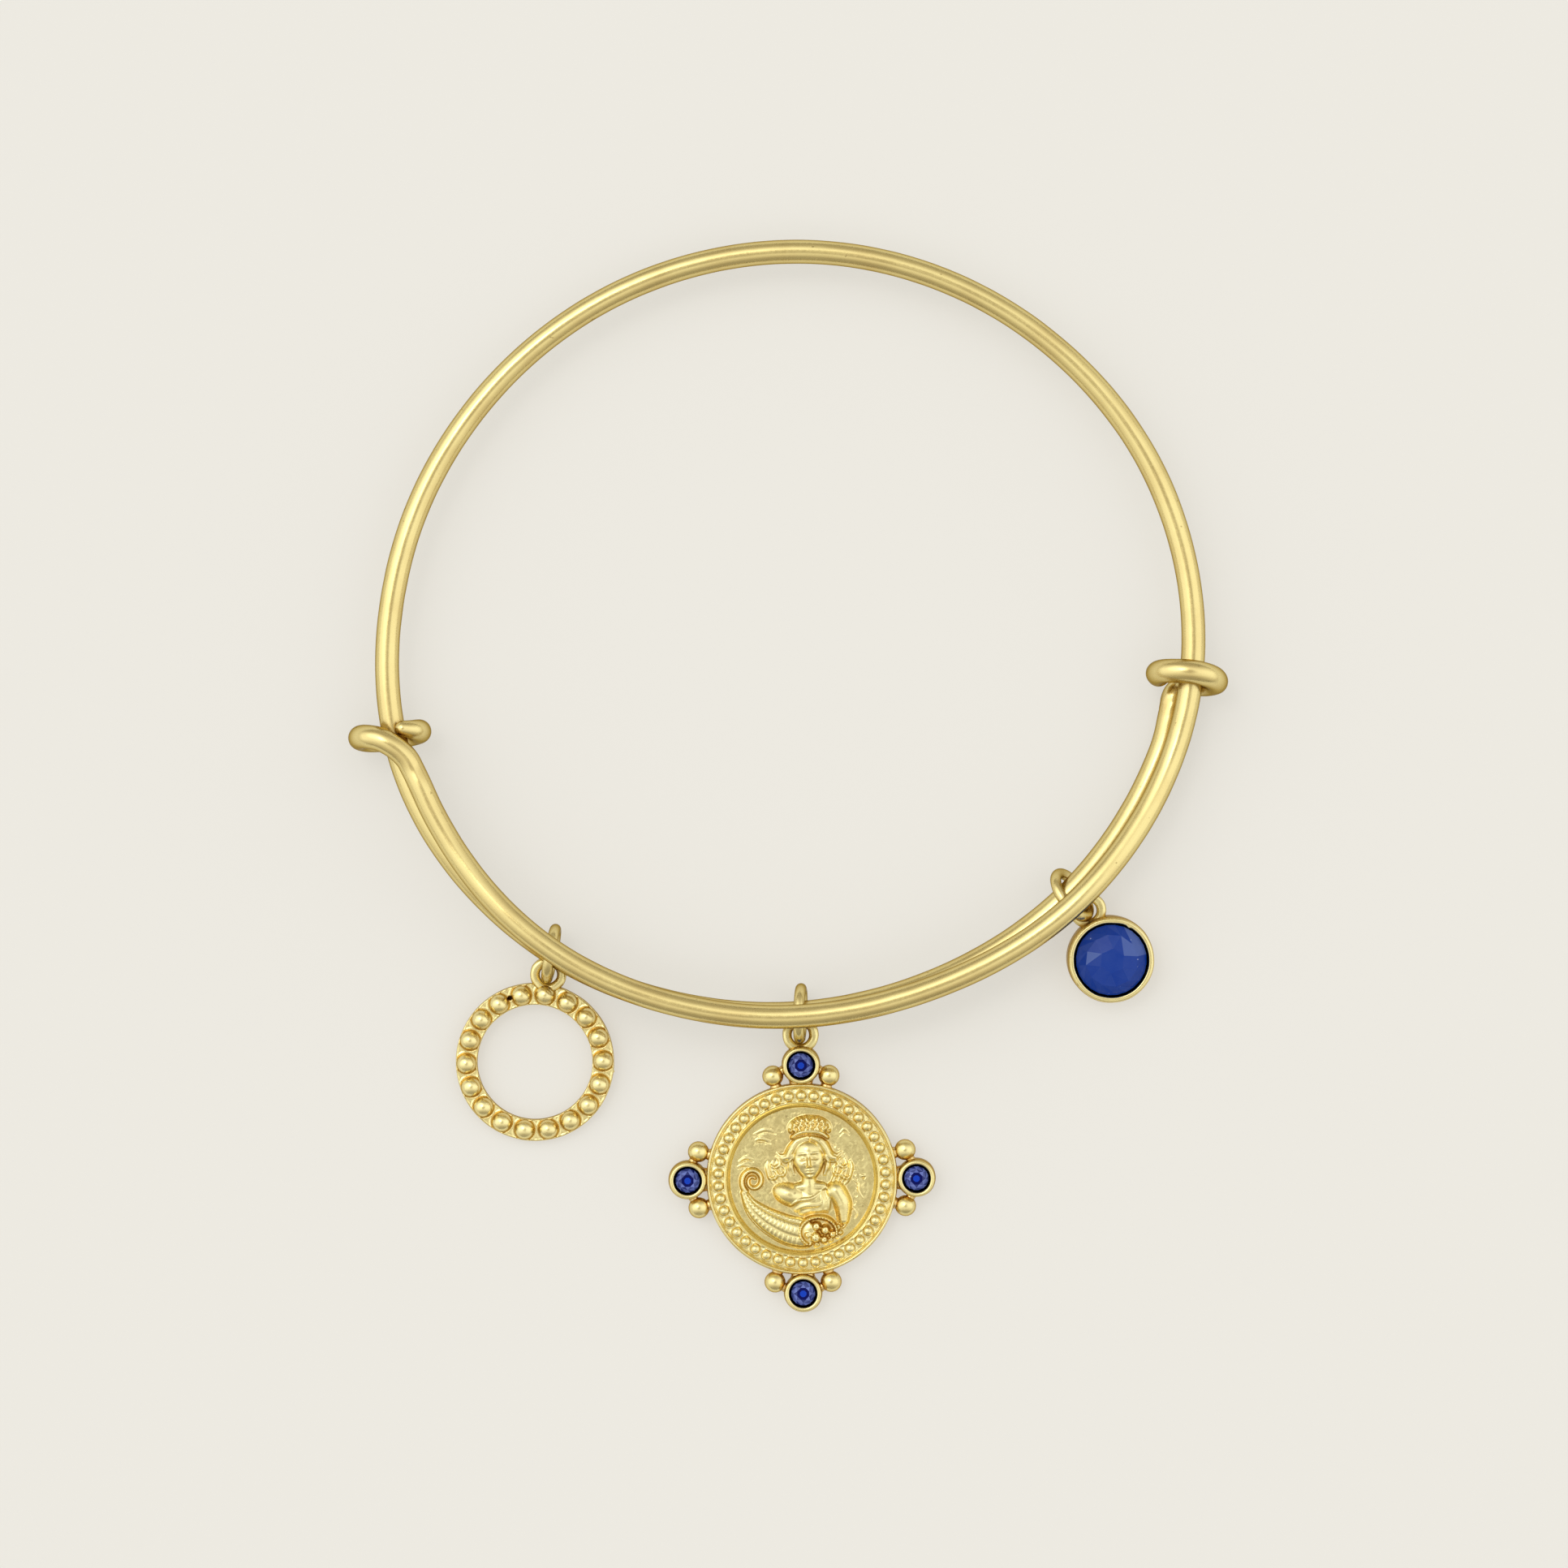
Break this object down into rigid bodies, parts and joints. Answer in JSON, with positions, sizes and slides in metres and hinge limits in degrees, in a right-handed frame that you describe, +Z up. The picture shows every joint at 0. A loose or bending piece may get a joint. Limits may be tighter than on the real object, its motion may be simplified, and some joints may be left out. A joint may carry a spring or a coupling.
{
  "type": "charm bangle",
  "caption": "Wire bangle with coiled ends and hanging charms: a beaded ring, a medallion with a crowned bust and small blue stones, and a large blue stone in a round setting.",
  "frame": {"origin": "centre of the wrist opening, on the plane that the bangle rests on", "axes": "+Z up from the resting plane along the wrist's axis; +Y away from the charms; +X to the right seen from above"},
  "size_m": [0.0716, 0.0874, 0.007],
  "materials": {
    "gold_wire": "satin worn gold, smooth",
    "gold_cast": "satin cast gold, darker in its hollows",
    "pale_blue_stone": "polished facets",
    "deep_blue_stone": "polished facets"
  },
  "bodies": {
    "root": {"bangle_wire": "gold_wire", "jump_ring_left": "gold_wire", "jump_ring_middle": "gold_wire", "jump_ring_right": "gold_wire", "beaded_ring_charm": "gold_cast", "medallion_charm": "gold_cast", "stone_top": "pale_blue_stone", "stone_right": "pale_blue_stone", "stone_bottom": "pale_blue_stone", "stone_left": "pale_blue_stone", "stone_setting_charm": "gold_cast", "main_stone": "deep_blue_stone"}
  },
  "joints": []
}
